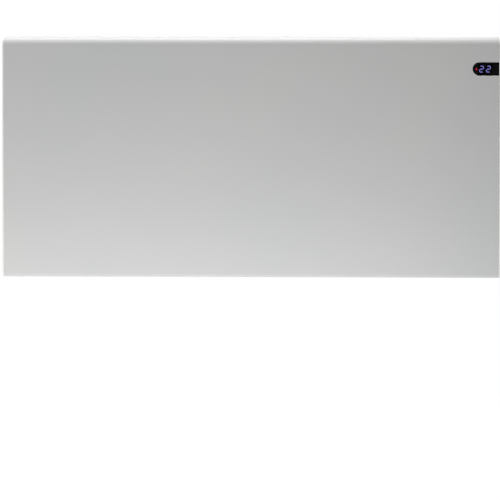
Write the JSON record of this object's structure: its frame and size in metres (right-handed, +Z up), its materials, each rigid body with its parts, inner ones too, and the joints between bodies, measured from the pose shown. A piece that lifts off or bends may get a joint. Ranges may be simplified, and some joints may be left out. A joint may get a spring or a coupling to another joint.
{
  "type": "wall panel convector heater",
  "caption": "Flat wall-hung electric panel heater with a round-topped slab, side push buttons, a small display and a convection box on a wall bracket.",
  "frame": {"origin": "centre of the upper bracket rail's face that lies on the wall", "axes": "+Z up, +Y into the wall, -Y towards the room, +X to the right as seen from the room"},
  "size_m": [0.766, 0.09, 0.37],
  "materials": {
    "panel_paint": "satin light grey powder paint",
    "cap_plastic": "fine matt warm grey",
    "window_plastic": "smoked gloss",
    "zinc_steel": "zinc plated",
    "aluminium": "mill finish",
    "board_green": "glass-epoxy board",
    "black_plastic": "matt",
    "white_plastic": "matt",
    "ceramic": "unglazed",
    "lamp_red": "clear red, lit",
    "lead_sleeve": "silicone sleeve",
    "earth_sleeve": "silicone sleeve",
    "rubber": "matt"
  },
  "bodies": {
    "bracket": {"rail_upper": "zinc_steel", "rail_lower": "zinc_steel", "upright_left": "zinc_steel", "upright_right": "zinc_steel", "catch_rivet_left": "zinc_steel", "catch_rivet_right": "zinc_steel"},
    "panel": {"front_cover": "panel_paint", "rear_pan": "panel_paint", "end_cap_left": "cap_plastic", "end_cap_right": "cap_plastic", "display_window": "window_plastic", "display_module": "black_plastic", "display_board": "board_green", "lamp_guide": "lamp_red", "control_housing": "black_plastic", "switch_board": "board_green", "tact_switch_ok": "black_plastic", "tact_switch_plus": "black_plastic", "tact_switch_minus": "black_plastic", "room_sensor": "white_plastic", "sensor_lead": "lead_sleeve", "heating_element": "aluminium", "heat_shield": "aluminium", "insulator_left": "ceramic", "insulator_right": "ceramic", "terminal_left": "zinc_steel", "terminal_right": "zinc_steel", "element_bracket_left": "zinc_steel", "element_bracket_right": "zinc_steel", "overheat_cutout": "black_plastic", "baffle": "zinc_steel", "board_tray": "black_plastic", "power_board": "board_green", "terminal_block": "white_plastic", "relay": "black_plastic", "capacitor": "white_plastic", "transformer": "black_plastic", "cable_gland": "black_plastic", "gland_nut": "black_plastic", "earth_stud": "zinc_steel", "lead_element_right": "lead_sleeve", "lead_element_left": "lead_sleeve", "lead_cutout": "lead_sleeve", "earth_lead": "earth_sleeve", "control_harness": "lead_sleeve", "hanger_left": "zinc_steel", "hanger_right": "zinc_steel", "wall_spacer_left": "rubber", "wall_spacer_right": "rubber", "screw_cap_left_lower": "zinc_steel", "screw_cap_left_upper": "zinc_steel", "screw_cap_right_lower": "zinc_steel", "screw_cap_right_upper": "zinc_steel", "screw_cover_lower": "zinc_steel", "screw_cover_upper": "zinc_steel"},
    "catch_left": {"catch_left": "black_plastic"},
    "catch_right": {"catch_right": "black_plastic"},
    "button_ok": {"button_ok": "cap_plastic"},
    "button_plus": {"button_plus": "cap_plastic"},
    "button_minus": {"button_minus": "cap_plastic"}
  },
  "joints": [
    {"name": "lift_off", "type": "slide", "parent": "bracket", "child": "panel", "axis": [0, 0, 1], "range_m": [0, 0.012]},
    {"name": "catch_left_release", "type": "slide", "parent": "bracket", "child": "catch_left", "axis": [0, 0, 1], "range_m": [0, 0.007], "stiffness_N_per_m": 200, "springref_m": -0.004},
    {"name": "catch_right_release", "type": "slide", "parent": "bracket", "child": "catch_right", "axis": [0, 0, 1], "range_m": [0, 0.007], "stiffness_N_per_m": 200, "springref_m": -0.004},
    {"name": "press_ok", "type": "slide", "parent": "panel", "child": "button_ok", "axis": [-1, 0, 0], "range_m": [0, 0.0006], "stiffness_N_per_m": 1500, "springref_m": -0.0004},
    {"name": "press_plus", "type": "slide", "parent": "panel", "child": "button_plus", "axis": [-1, 0, 0], "range_m": [0, 0.0006], "stiffness_N_per_m": 1500, "springref_m": -0.0004},
    {"name": "press_minus", "type": "slide", "parent": "panel", "child": "button_minus", "axis": [-1, 0, 0], "range_m": [0, 0.0006], "stiffness_N_per_m": 1500, "springref_m": -0.0004}
  ]
}
